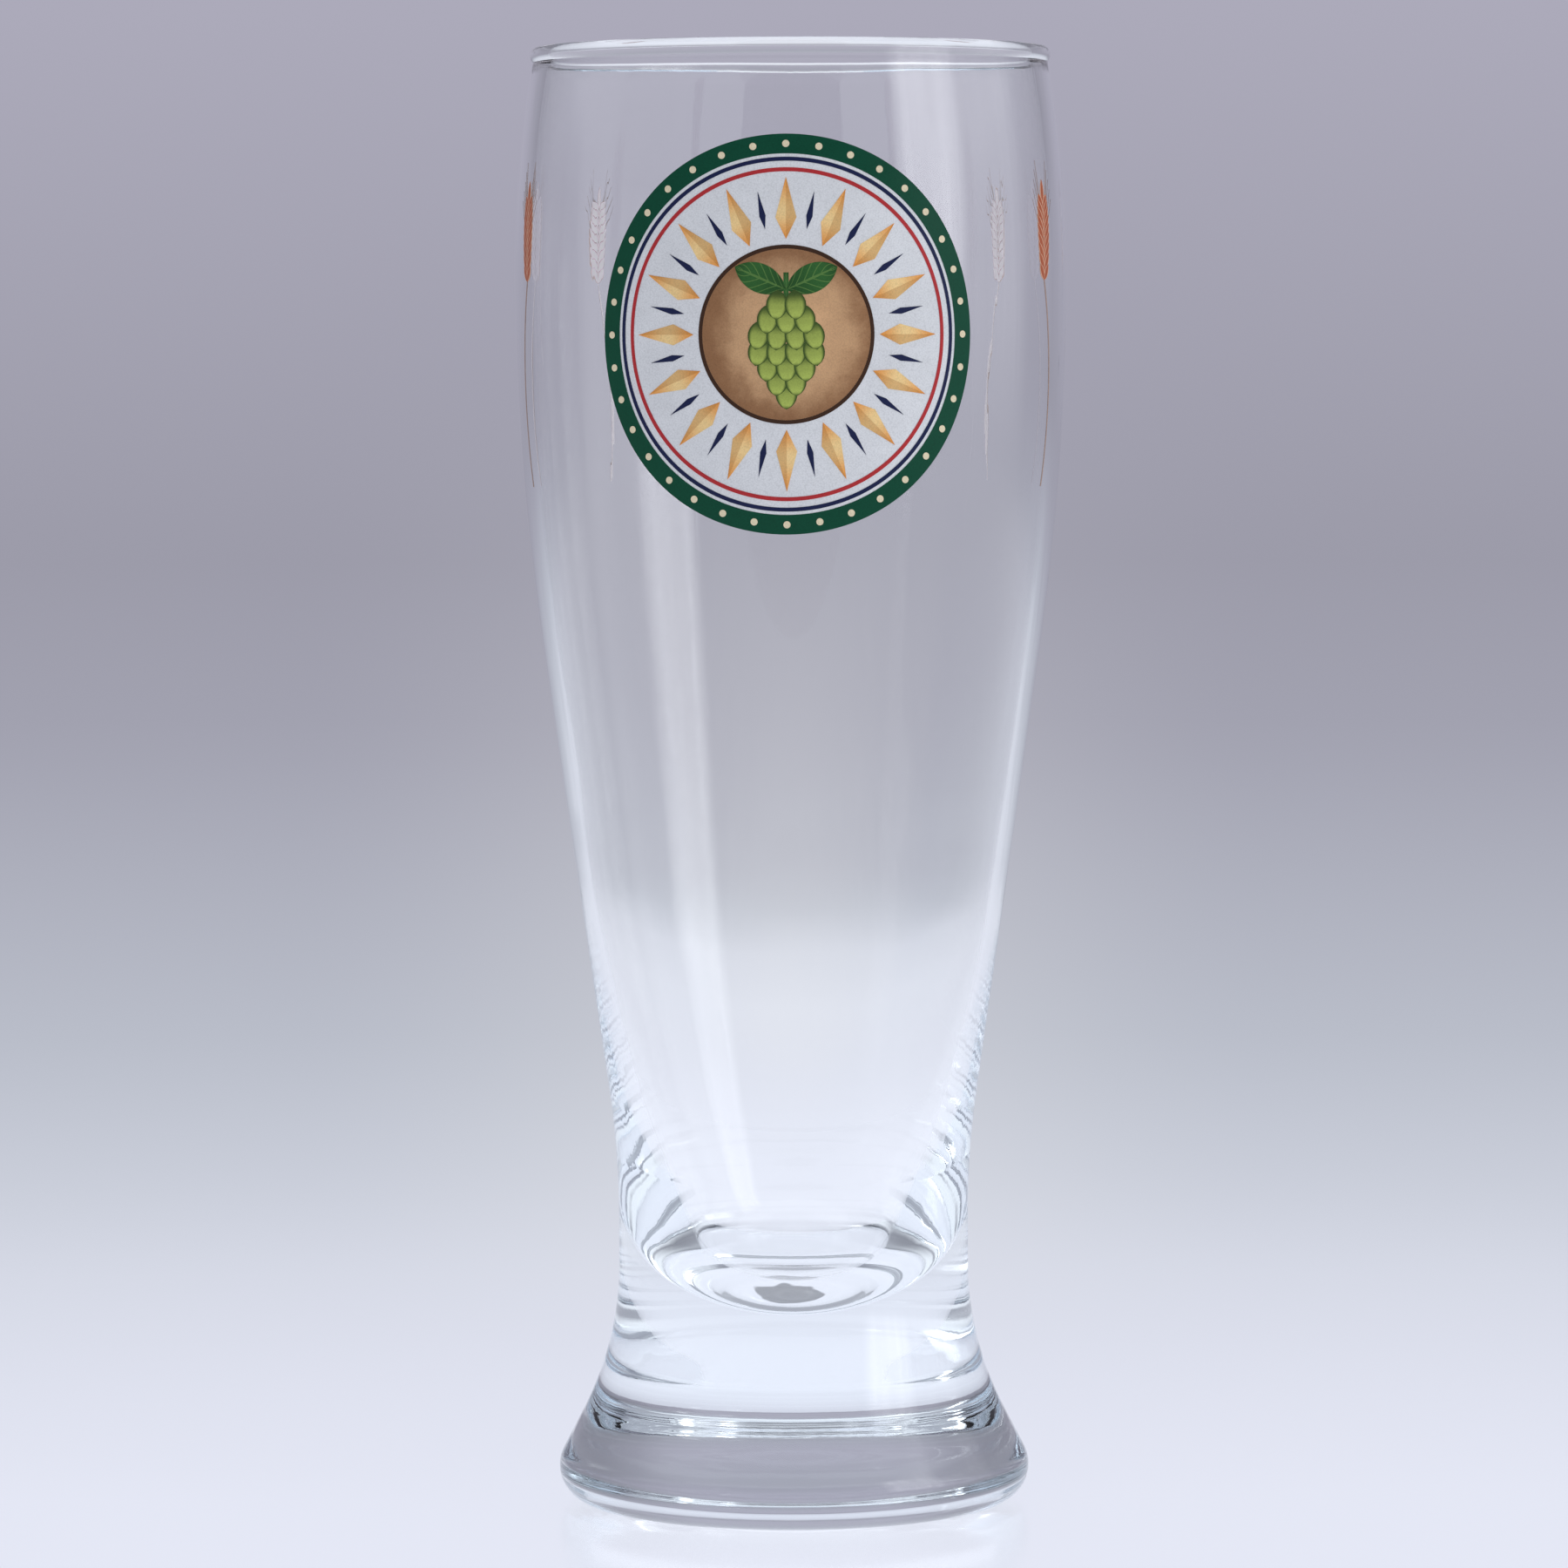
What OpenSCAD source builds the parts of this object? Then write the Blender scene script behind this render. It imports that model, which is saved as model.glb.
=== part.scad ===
// Tall pilsner glass: a heavy solid foot, a narrow waist, a tapered wall that swells into a bowl
// and a rounded rim, with a round badge and four wheat ears printed on the outside of the wall.
// Millimetres. +Z is up, the origin is on the table under the middle of the foot, and -Y is the front.

/* [Foot] */
// Widest diameter of the foot
foot_d = 74.6; // [70:0.1:79]
// Radius of the rounded edge of the foot
foot_edge_r = 5.5; // [4:0.1:7]
// Angle of the straight flank above the edge, from upright
flank_lean = 27.2; // [22:0.1:34]
// Diameter of the hollow under the foot, inside the ring that it stands on
hollow_d = 53; // [40:0.5:60]
// Height of the hollow in its middle
hollow_h = 1.8; // [1:0.1:4]

/* [Waist] */
// Diameter of the waist
waist_d = 55.4; // [51:0.1:60]
// Radius of the curve from the flank up into the waist
waist_low_r = 51.8; // [40:0.1:60]
// Height of the straight band of the waist
waist_band_h = 7; // [1:0.1:12]

/* [Bowl] */
// Height from the table to the top of the rim
glass_h = 230; // [222:0.5:245]
// Widest diameter of the bowl
belly_d = 86.8; // [82:0.1:92]
// Drop from the rim down to the widest place of the bowl
belly_drop_h = 35.7; // [30:0.1:42]
// Lean of the straight wall, as a share of the lean of a line from the waist to the widest place
wall_lean_share = 1.357; // [1.25:0.001:1.55]
// Share of the wall's two long curves that the lower one has; the one below the widest place has the rest
lower_curve_share = 0.259; // [0.15:0.001:0.5]
// Radius of the curve from the widest place up to the rim
shoulder_curve_r = 189; // [150:1:260]
// Thickness of the wall of the bowl
wall_t = 2.15; // [1.6:0.05:3]
// Height of the round bead at the rim
rim_bead_d = 2.9; // [2.4:0.05:4]
// How far the bead stands proud of the inside of the wall
rim_bead_lip = 0.1; // [0.05:0.05:0.4]

/* [Inside] */
// Thickness of solid glass under the lowest place of the inside
base_t = 29.6; // [20:0.1:34]
// Radius of the round floor of the inside
floor_r = 18.8; // [15:0.1:21]
// Share of the way up from the waist to the widest place at which the wall is down to its full thinness
thicken_share = 0.3615; // [0.31:0.0005:0.46]

/* [Badge] */
// Diameter of the round badge, measured round the wall
badge_d = 60.8; // [44:0.2:64]
// Drop from the widest place of the bowl down to the middle of the badge
badge_drop_h = 9.5; // [3:0.1:14]
// Turn of the badge from the front, to the right when positive
badge_turn = -1; // [-30:0.5:30]
// Width of the green ring
green_ring_w = 3; // [1.5:0.1:4]
// Width of each thin line round the badge
thin_line_w = 0.6; // [0.3:0.05:0.8]
// Gap between neighbouring rings
ring_gap = 0.5; // [0.3:0.05:0.7]
// Number of small dots on the green ring
bead_count = 36; // [12:1:48]
// Diameter of each dot
bead_d = 1.1; // [0.6:0.05:1.4]
// Diameter of the tan disc
roundel_d = 26; // [20:0.2:30]
// Number of gold rays
ray_count = 16; // [8:1:24]
// Length of a ray
ray_len = 9.4; // [5:0.1:10]
// Width of a ray at its broadest
ray_w = 3.2; // [1:0.1:3.6]

/* [Hop motif] */
// Length of the hop cone
cone_len = 15.4; // [12:0.1:16]
// Length of one scale of the cone
scale_len = 4.6; // [4:0.1:5.6]
// Width of one scale
scale_w = 3.3; // [3:0.1:4]
// Length of a leaf
leaf_len = 8.6; // [6:0.1:9.4]
// Width of a leaf
leaf_w = 4.4; // [3:0.1:5]

/* [Wheat ears] */
// Drop from the widest place of the bowl down to the foot of each stem
stem_drop_h = 33.2; // [25:0.1:42]
// Length of each stem
stem_len = 32; // [20:0.1:34]
// Width of each stem
stem_w = 0.36; // [0.25:0.01:0.6]
// How far each stem bows sideways
stem_bow_w = 1.9; // [1:0.1:4]
// Length of the head with its kernels
head_len = 15.6; // [10:0.1:18]
// Number of kernels on each side of a head
kernel_rows = 9; // [5:1:12]
// Length of a kernel
kernel_len = 4.1; // [3:0.1:5]
// Width of a kernel
kernel_w = 1.35; // [0.8:0.05:1.6]
// Length of an awn
awn_len = 6; // [3:0.1:8]
// Width of an awn at its root
awn_w = 0.16; // [0.16:0.01:0.4]
// Turn of the right front ear from the front; its mate stands on the left
front_ear_turn = 67.8; // [60:0.1:80]
// Turn of the right back ear from the front; its mate stands on the left
back_ear_turn = 128.4; // [110:0.1:160]
// Turn of the whole set of ears against the glass
ears_turn = -3; // [-30:0.5:30]

/* [Print] */
// Thickness of one fired layer of print
ink_t = 0.15; // [0.1:0.01:0.25]

/* [Hidden] */
$fn = 256;

// Colours of the glass and of the inks
glass_colour = [0.80, 0.90, 0.90, 0.45];
white_ink = [0.95, 0.95, 0.93];
cream_ink = [0.96, 0.90, 0.74];
green_ink = [0.02, 0.32, 0.22];
navy_ink = [0.09, 0.12, 0.28];
red_ink = [0.72, 0.16, 0.17];
gold_ink = [0.93, 0.64, 0.27];
tan_ink = [0.80, 0.62, 0.44];
brown_ink = [0.36, 0.22, 0.14];
leaf_ink = [0.16, 0.36, 0.14];
hop_ink = [0.55, 0.62, 0.22];
ear_ink = [0.76, 0.43, 0.28];
stalk_ink = [0.62, 0.40, 0.27];

// Radii of the places that are given as diameters
foot_r = foot_d / 2;
waist_r = waist_d / 2;
belly_r = belly_d / 2;
bead_r = rim_bead_d / 2;
badge_r = badge_d / 2;

// Heights that are given as drops from a place above them
belly_z = glass_h - belly_drop_h;
badge_z = belly_z - badge_drop_h;
stem_z = belly_z - stem_drop_h;

// Side view of the outside, as [distance from the axis, height].
// The flank touches the rounded edge of the foot and the lower curve of the waist.
edge_centre = [foot_r - foot_edge_r, foot_edge_r];
flank_out = [cos(flank_lean), sin(flank_lean)];
flank_foot = edge_centre + foot_edge_r * flank_out;
waist_low_z = flank_foot.y
    + (waist_low_r - flank_out.x * (waist_r + waist_low_r - flank_foot.x)) / flank_out.y;
waist_low_centre = [waist_r + waist_low_r, waist_low_z];
flank_top = waist_low_centre - waist_low_r * flank_out;

// From the waist the wall runs out on one long curve, then straight, then on a second one to the widest place.
// The two curves' radii add up to what lets the straight part touch both of them.
waist_top_z = waist_low_z + waist_band_h;
flare = [belly_r - waist_r, belly_z - waist_top_z];
wall_lean = wall_lean_share * atan2(flare.x, flare.y);
wall_out = [cos(wall_lean), -sin(wall_lean)];
both_curves_r = (flare.y * sin(wall_lean) - flare.x * cos(wall_lean)) / (1 - cos(wall_lean));
waist_high_r = lower_curve_share * both_curves_r;
belly_curve_r = both_curves_r - waist_high_r;
waist_high_centre = [waist_r + waist_high_r, waist_top_z];
belly_centre = [belly_r - belly_curve_r, belly_z];
shoulder_centre = [belly_r - shoulder_curve_r, belly_z];
wall_foot = waist_high_centre - waist_high_r * wall_out;

// The bead sits on the wall and stands a little proud of the inside.
bead_z = glass_h - bead_r;
bead_reach = shoulder_curve_r - wall_t + bead_r - rim_bead_lip;
bead_rise = asin((bead_z - belly_z) / bead_reach);
bead_centre = [shoulder_centre.x + bead_reach * cos(bead_rise), bead_z];
wall_top_z = bead_z - bead_r * sin(bead_rise);

// Inside: a round floor, then one long curve that touches both the floor and the inside of the wall.
thicken_z = waist_top_z + thicken_share * flare.y;
thicken_x = wall_x(thicken_z, -wall_t);
floor_centre_z = base_t + floor_r;
thicken_rise = thicken_z - floor_centre_z;
inside_curve_r = (pow(thicken_x, 2) + pow(thicken_rise, 2) - pow(floor_r, 2))
    / (2 * (thicken_x * wall_out.x + thicken_rise * wall_out.y - floor_r));
inside_centre = [thicken_x, thicken_z] - inside_curve_r * wall_out;
floor_edge = [0, floor_centre_z]
    + floor_r * ([0, floor_centre_z] - inside_centre) / norm([0, floor_centre_z] - inside_centre);

// Hollow under the foot, a shallow part of a sphere
hollow_curve_r = (pow(hollow_d / 2, 2) + pow(hollow_h, 2)) / (2 * hollow_h);

// Rings of the badge, from the outside in
badge_steps = 72;
bead_sides = 8;
green_inner_r = badge_r - green_ring_w;
navy_outer_r = green_inner_r - ring_gap;
navy_inner_r = navy_outer_r - thin_line_w;
red_outer_r = navy_inner_r - 2 * ring_gap;
red_inner_r = red_outer_r - thin_line_w;
rim_line_outer_r = roundel_d / 2 + thin_line_w;
ray_middle_r = (rim_line_outer_r + red_inner_r) / 2;
// Share of a ray's length from its inner tip to its broadest place
ray_belly_share = 0.35;
// Shares of a ray's length and width that a needle between two rays takes
needle_len_share = 0.62;
needle_w_share = 0.3;

// Rows of the hop cone from the top down: scales in the row, height of the row as a share of the cone's length
cone_row_counts = [2, 3, 4, 4, 3, 2, 1];
cone_row_shares = [0.52, 0.38, 0.22, 0.06, -0.09, -0.23, -0.36];
// Step between neighbouring scales of a row as a share of a scale's width, and how much more each leans out
scale_step_share = 0.74;
scale_lean = 9;
// Lean of a leaf from upright, and length of the stalk as a share of the cone's length
leaf_lean = 66;
hop_stalk_share = 0.17;
hop_stalk_w = 0.8;
// Drop of the whole motif below the middle of the badge, as a share of the cone's length
hop_drop_share = 0.08;

// Kernels lean out from the middle of the head; the top awns lean less, and each row below leans more
kernel_lean = 31;
awn_lean = 9;
awn_lean_step = 4;
awn_rows = 5;
head_z = stem_z + stem_len;
stem_lean = 2.9;
stem_curve_r = (pow(stem_len / 2, 2) + pow(stem_bow_w, 2)) / (2 * stem_bow_w);
// Share of the head's length over which the kernels' roots are spread
kernel_root_share = 0.78;
// Share of a kernel's size that the lowest and the highest one keep
end_kernel_share = 0.72;

// How far a cut or a stencil runs past what it cuts
overrun = 1;
// How far neighbouring stretches of the side view reach into each other, so that they join up
lap = 0.5;

// Distance of the straight wall from the axis at a height, moved outwards by grow
function wall_x(z, grow) = wall_foot.x + (z - wall_foot.y) * tan(wall_lean) + grow / cos(wall_lean);

// Sideways place on the flat view of a point that lies a distance s round the wall
function wrapped_x(s) = belly_r * sin(s / belly_r * 180 / PI);

// Point of the badge on the flat view, from its distance and direction round the wall
function badge_point(r, turn) = [wrapped_x(r * sin(turn)), r * cos(turn)];

// Upright band of the side view from the axis out to x, between two heights
module side_band(x, z_low, z_high) {
    translate([0, z_low]) square([x, z_high - z_low]);
}

// Side view of everything within the bowl's outer face moved outwards by grow, from z_low up to the rim
module bowl_side(grow, z_low) {
    curve_foot = belly_centre + (belly_curve_r + grow) * wall_out;
    polygon([[0, z_low], [wall_x(z_low, grow), z_low], curve_foot, [0, curve_foot.y]]);
    intersection() {
        translate(belly_centre) circle(r = belly_curve_r + grow);
        side_band(belly_r + grow + overrun, curve_foot.y - lap, belly_z);
    }
    intersection() {
        translate(shoulder_centre) circle(r = shoulder_curve_r + grow);
        side_band(belly_r + grow + overrun, belly_z - lap, wall_top_z);
    }
}

// Side view of the solid waist and foot
module foot_side() {
    flank_end = flank_top + lap * [-flank_out.y, flank_out.x];
    translate(edge_centre) circle(r = foot_edge_r);
    polygon([[0, 0], [edge_centre.x, 0], flank_foot, flank_end, [0, flank_end.y]]);
    difference() {
        side_band(flank_top.x, flank_top.y, waist_low_z);
        translate(waist_low_centre) circle(r = waist_low_r);
    }
    side_band(waist_r, waist_low_z - lap, waist_top_z + lap);
    difference() {
        side_band(wall_foot.x, waist_top_z, wall_foot.y);
        translate(waist_high_centre) circle(r = waist_high_r);
    }
}

// Side view of the inside
module inside_side() {
    bowl_side(-wall_t, thicken_z);
    intersection() {
        translate(inside_centre) circle(r = inside_curve_r);
        side_band(thicken_x + overrun, floor_edge.y, thicken_z + lap);
    }
    intersection() {
        translate([0, floor_centre_z]) circle(r = floor_r);
        side_band(floor_r, base_t - overrun, floor_edge.y + lap);
    }
}

module glass_body() {
    color(glass_colour)
    rotate_extrude() union() {
        difference() {
            union() {
                foot_side();
                bowl_side(0, wall_foot.y - lap);
            }
            inside_side();
            intersection() {
                translate([0, hollow_h - hollow_curve_r]) circle(r = hollow_curve_r);
                side_band(hollow_d, -overrun, hollow_h + overrun);
            }
        }
        translate(bead_centre) circle(r = bead_r);
    }
}

// One layer of print: the child outline, drawn on the flat front view, laid on the wall.
// Layer 1 lies on the glass, layer 2 on layer 1, and so on.
module print_layer(layer, turn) {
    intersection() {
        rotate_extrude() difference() {
            bowl_side(layer * ink_t, wall_foot.y);
            bowl_side((layer - 1) * ink_t, wall_foot.y);
        }
        rotate([0, 0, turn]) rotate([90, 0, 0]) linear_extrude(belly_d) children();
    }
}

// One layer of the badge
module badge_layer(layer) {
    print_layer(layer, badge_turn) translate([0, badge_z]) children();
}

// Disc of the badge, round when measured along the wall
module badge_disc(r) {
    polygon([for (i = [0 : badge_steps - 1]) badge_point(r, i * 360 / badge_steps)]);
}

module badge_ring(outer_r, inner_r) {
    difference() {
        badge_disc(outer_r);
        badge_disc(inner_r);
    }
}

// Slim lozenge that points away from the middle of the badge
module badge_ray(turn, len, w) {
    inner_r = ray_middle_r - len / 2;
    belly_ray_r = inner_r + len * ray_belly_share;
    half_turn = atan2(w / 2, belly_ray_r);
    polygon([
        badge_point(inner_r, turn),
        badge_point(belly_ray_r, turn - half_turn),
        badge_point(inner_r + len, turn),
        badge_point(belly_ray_r, turn + half_turn),
    ]);
}

// Pointed oval of a given length and width, with its lower tip at the origin
module pointed_oval(len, w) {
    side_r = (pow(len / 2, 2) + pow(w / 2, 2)) / w;
    translate([0, len / 2]) intersection() {
        translate([side_r - w / 2, 0]) circle(r = side_r);
        translate([w / 2 - side_r, 0]) circle(r = side_r);
    }
}

module badge_white_ground() {
    color(white_ink) badge_layer(1) badge_disc(badge_r);
}

module badge_green_ring() {
    color(green_ink) badge_layer(2) badge_ring(badge_r, green_inner_r);
}

module badge_cream_beads() {
    color(cream_ink) badge_layer(3)
    for (i = [0 : bead_count - 1])
        translate(badge_point(badge_r - green_ring_w / 2, i * 360 / bead_count))
            circle(d = bead_d, $fn = bead_sides);
}

module badge_navy_lines() {
    color(navy_ink) badge_layer(2) {
        badge_ring(navy_outer_r, navy_inner_r);
        for (i = [0 : ray_count - 1])
            badge_ray((i + 0.5) * 360 / ray_count, ray_len * needle_len_share, ray_w * needle_w_share);
    }
}

module badge_red_ring() {
    color(red_ink) badge_layer(2) badge_ring(red_outer_r, red_inner_r);
}

module badge_gold_rays() {
    color(gold_ink) badge_layer(2)
    for (i = [0 : ray_count - 1])
        badge_ray(i * 360 / ray_count, ray_len, ray_w);
}

module badge_tan_roundel() {
    color(tan_ink) badge_layer(2) badge_disc(roundel_d / 2);
}

module badge_brown_rim() {
    color(brown_ink) badge_layer(2) badge_ring(rim_line_outer_r, roundel_d / 2);
}

// Outline of the hop cone: rows of scales that point down and lean out more towards the sides
module hop_cone_outline() {
    for (row = [0 : len(cone_row_counts) - 1], i = [0 : cone_row_counts[row] - 1]) {
        place = i - (cone_row_counts[row] - 1) / 2;
        translate([place * scale_w * scale_step_share, (cone_row_shares[row] - hop_drop_share) * cone_len])
            rotate(180 + place * scale_lean) pointed_oval(scale_len, scale_w);
    }
}

module badge_hop_cone() {
    color(hop_ink) badge_layer(3) hop_cone_outline();
}

module badge_hop_leaves() {
    top_y = (cone_row_shares[0] - hop_drop_share) * cone_len;
    color(leaf_ink) badge_layer(3) difference() {
        union() {
            for (side = [-1, 1])
                translate([0, top_y]) rotate(-side * leaf_lean) pointed_oval(leaf_len, leaf_w);
            translate([-hop_stalk_w / 2, top_y - scale_len / 2])
                square([hop_stalk_w, scale_len / 2 + hop_stalk_share * cone_len]);
        }
        hop_cone_outline();
    }
}

// Outline of the head of an ear: pairs of kernels up the middle and one at the top
module kernels_outline() {
    root_step = head_len * kernel_root_share / kernel_rows;
    for (row = [0 : kernel_rows - 1]) {
        middle = abs(row - (kernel_rows - 1) / 2) / ((kernel_rows - 1) / 2);
        size = 1 - (1 - end_kernel_share) * pow(middle, 2);
        for (side = [-1, 1])
            translate([0, row * root_step]) rotate(-side * kernel_lean)
                pointed_oval(kernel_len * size, kernel_w);
    }
    translate([0, head_len - kernel_len]) pointed_oval(kernel_len, kernel_w);
}

// Thin hairs above the upper kernels, widest at the root
module awns_outline() {
    root_step = head_len * kernel_root_share / kernel_rows;
    kernel_middle = kernel_len / 2 * [sin(kernel_lean), cos(kernel_lean)];
    for (row = [kernel_rows - awn_rows : kernel_rows - 1], side = [-1, 1]) {
        lean = awn_lean + (kernel_rows - 1 - row) * awn_lean_step;
        translate([side * kernel_middle.x, row * root_step + kernel_middle.y]) rotate(-side * lean)
            polygon([[-awn_w / 2, 0], [awn_w / 2, 0], [0, awn_len]]);
    }
}

// Bowed stem that ends at the root of the head
module stem_outline() {
    rotate(stem_lean) translate([stem_bow_w - stem_curve_r, -stem_len / 2]) intersection() {
        difference() {
            circle(r = stem_curve_r + stem_w / 2);
            circle(r = stem_curve_r - stem_w / 2);
        }
        translate([0, -stem_len / 2]) square([stem_curve_r + stem_w, stem_len]);
    }
}

// One ear's layer: side is 1 for the right ones and -1 for their mirrored mates on the left
module ear_layer(turn, side) {
    print_layer(1, side * turn + ears_turn) translate([0, head_z]) mirror([side > 0 ? 0 : 1, 0]) children();
}

module ear_kernels(turn, side) {
    color(ear_ink) ear_layer(turn, side) kernels_outline();
}

module ear_stalk(turn, side) {
    color(stalk_ink) ear_layer(turn, side) difference() {
        union() {
            stem_outline();
            awns_outline();
        }
        kernels_outline();
    }
}

module ear_kernels_front_left() {
    ear_kernels(front_ear_turn, -1);
}

module ear_kernels_front_right() {
    ear_kernels(front_ear_turn, 1);
}

module ear_kernels_back_left() {
    ear_kernels(back_ear_turn, -1);
}

module ear_kernels_back_right() {
    ear_kernels(back_ear_turn, 1);
}

module ear_stalk_front_left() {
    ear_stalk(front_ear_turn, -1);
}

module ear_stalk_front_right() {
    ear_stalk(front_ear_turn, 1);
}

module ear_stalk_back_left() {
    ear_stalk(back_ear_turn, -1);
}

module ear_stalk_back_right() {
    ear_stalk(back_ear_turn, 1);
}

glass_body();
badge_white_ground();
badge_green_ring();
badge_cream_beads();
badge_navy_lines();
badge_red_ring();
badge_gold_rays();
badge_tan_roundel();
badge_brown_rim();
badge_hop_leaves();
badge_hop_cone();
ear_kernels_front_left();
ear_kernels_front_right();
ear_kernels_back_left();
ear_kernels_back_right();
ear_stalk_front_left();
ear_stalk_front_right();
ear_stalk_back_left();
ear_stalk_back_right();
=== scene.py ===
"""Pilsner glass: clear pressed and blown glass with a fired badge and four wheat ears."""

import math
from types import SimpleNamespace

import bmesh
import bpy
from bpy.props import FloatProperty, FloatVectorProperty, IntProperty, PointerProperty
from mathutils import Matrix, Vector, noise


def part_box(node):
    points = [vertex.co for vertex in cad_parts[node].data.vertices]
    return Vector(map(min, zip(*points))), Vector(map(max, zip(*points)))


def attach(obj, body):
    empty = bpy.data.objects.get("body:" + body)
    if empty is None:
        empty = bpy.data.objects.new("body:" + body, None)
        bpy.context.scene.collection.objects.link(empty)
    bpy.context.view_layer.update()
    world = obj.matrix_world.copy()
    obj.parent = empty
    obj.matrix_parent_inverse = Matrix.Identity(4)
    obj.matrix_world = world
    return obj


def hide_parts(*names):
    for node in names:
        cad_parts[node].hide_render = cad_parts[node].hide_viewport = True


bl_info = {
    "name": "Pilsner Glass",
    "version": (1, 0, 0),
    "blender": (4, 5, 0),
    "location": "View3D > Sidebar > Pilsner Glass",
    "description": "Builds a printed pilsner glass on its packed frame, and the studio it stands in",
    "category": "Object",
}

BODY = "root"
# Points that share a place to within this distance are one point
SAME_PLACE = 1e-7
# Edges that turn by more than this stay crisp
CRISP_EDGE = math.radians(40)

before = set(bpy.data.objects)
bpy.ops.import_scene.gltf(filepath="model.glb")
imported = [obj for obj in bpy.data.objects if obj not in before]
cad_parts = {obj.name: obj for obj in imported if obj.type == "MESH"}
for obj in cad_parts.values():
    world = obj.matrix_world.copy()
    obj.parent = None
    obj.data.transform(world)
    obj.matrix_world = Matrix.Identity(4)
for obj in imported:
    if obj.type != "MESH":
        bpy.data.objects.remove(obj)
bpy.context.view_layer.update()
GLASS_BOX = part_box("glass_body")


def setting(kind, description, default, **limits):
    """A property of a group, labelled with its description."""
    return kind(name=description, description=description, default=default, **limits)


def length(description, default, least=0):
    """A property that holds a length in metres."""
    return setting(FloatProperty, description, default, min=least, precision=5, unit="LENGTH")


def angle(description, degrees):
    """A property that holds an angle."""
    return setting(FloatProperty, description, math.radians(degrees), subtype="ANGLE")


def share(description, default):
    """A property that holds a part of a whole."""
    return setting(FloatProperty, description, default, precision=4, subtype="FACTOR")


def brightness(description, default):
    """A property that holds the strength of a light."""
    return setting(FloatProperty, description, default, min=0)


def count(description, default, least):
    """A property that holds a number of like things."""
    return setting(IntProperty, description, default, min=least)


def colour(description, default):
    """A property that holds a scene-linear colour."""
    return setting(FloatVectorProperty, description, default, size=3, min=0, max=1, subtype="COLOR")


def display_colour(red, green, blue):
    """Scene-linear colour of a tone that a screen shows with these values from 0 to 255."""
    tones = [value / 255 for value in (red, green, blue)]
    return tuple(tone / 12.92 if tone <= 0.04045 else ((tone + 0.055) / 1.055) ** 2.4 for tone in tones)


class PilsnerGlassSizes(bpy.types.PropertyGroup):
    """Sizes of the glass itself"""

    foot_d: length("Widest diameter of the foot", 0.0746)
    foot_edge_r: length("Radius of the rounded edge of the foot", 0.0055)
    flank_lean: angle("Lean of the straight flank above the edge", 27.2)
    hollow_d: length("Diameter of the hollow under the foot", 0.053)
    hollow_h: length("Height of the hollow in its middle", 0.0018)
    waist_d: length("Diameter of the waist", 0.0554)
    waist_low_r: length("Radius of the curve from the flank into the waist", 0.0518)
    waist_band_h: length("Height of the straight band of the waist", 0.007)
    belly_drop_h: length("Drop from the rim to the widest place", 0.0357)
    wall_lean_share: share("Lean of the wall against the line from waist to belly", 1.357)
    lower_curve_share: share("Share of the wall's two curves that the lower one has", 0.259)
    shoulder_curve_r: length("Radius of the curve from the belly to the rim", 0.189)
    wall_t: length("Thickness of the wall of the bowl", 0.00215)
    rim_bead_d: length("Height of the round bead at the rim", 0.0029)
    rim_bead_lip: length("How far the bead stands proud of the inside", 0.0001)
    base_t: length("Solid glass under the lowest place of the inside", 0.0296)
    floor_r: length("Radius of the round floor of the inside", 0.0188)
    thicken_share: share("Share of the way up where the wall is at its thinnest", 0.3615)
    wave_t: length("How far the inside wanders from a true round", 0.00005)


class PilsnerBadgeSizes(bpy.types.PropertyGroup):
    """Sizes of the round badge"""

    badge_d: length("Diameter of the badge, measured round the wall", 0.0608)
    badge_drop_h: length("Drop from the belly to the middle of the badge", 0.0095)
    badge_turn: angle("Turn of the badge from the front", -1)
    green_ring_w: length("Width of the green ring", 0.003)
    thin_line_w: length("Width of each thin line", 0.0006)
    ring_gap: length("Gap between neighbouring rings", 0.0005)
    bead_count: count("Number of dots on the green ring", 36, 3)
    bead_d: length("Diameter of each dot", 0.0011)
    roundel_d: length("Diameter of the tan disc", 0.026)
    ray_count: count("Number of gold rays", 16, 3)
    ray_len: length("Length of a ray", 0.0094)
    ray_w: length("Width of a ray at its broadest", 0.0032)
    ray_belly_share: share("Share of a ray's length where it is broadest", 0.35)
    needle_len_share: share("Length of a needle against a ray", 0.62)
    needle_w_share: share("Width of a needle against a ray", 0.3)
    cone_len: length("Length of the hop cone", 0.0154)
    scale_len: length("Length of one scale of the cone", 0.0046)
    scale_w: length("Width of one scale of the cone", 0.0033)
    scale_step_share: share("Step between scales against their width", 0.74)
    scale_lean: angle("How much more each scale leans out", 9)
    leaf_len: length("Length of a leaf", 0.0086)
    leaf_w: length("Width of a leaf", 0.0044)
    leaf_lean: angle("Lean of a leaf from upright", 66)
    hop_stalk_w: length("Width of the stalk of the hop", 0.0008)
    hop_stalk_share: share("Length of the stalk against the cone", 0.17)
    hop_drop_share: share("Drop of the motif against the cone's length", 0.08)


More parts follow.
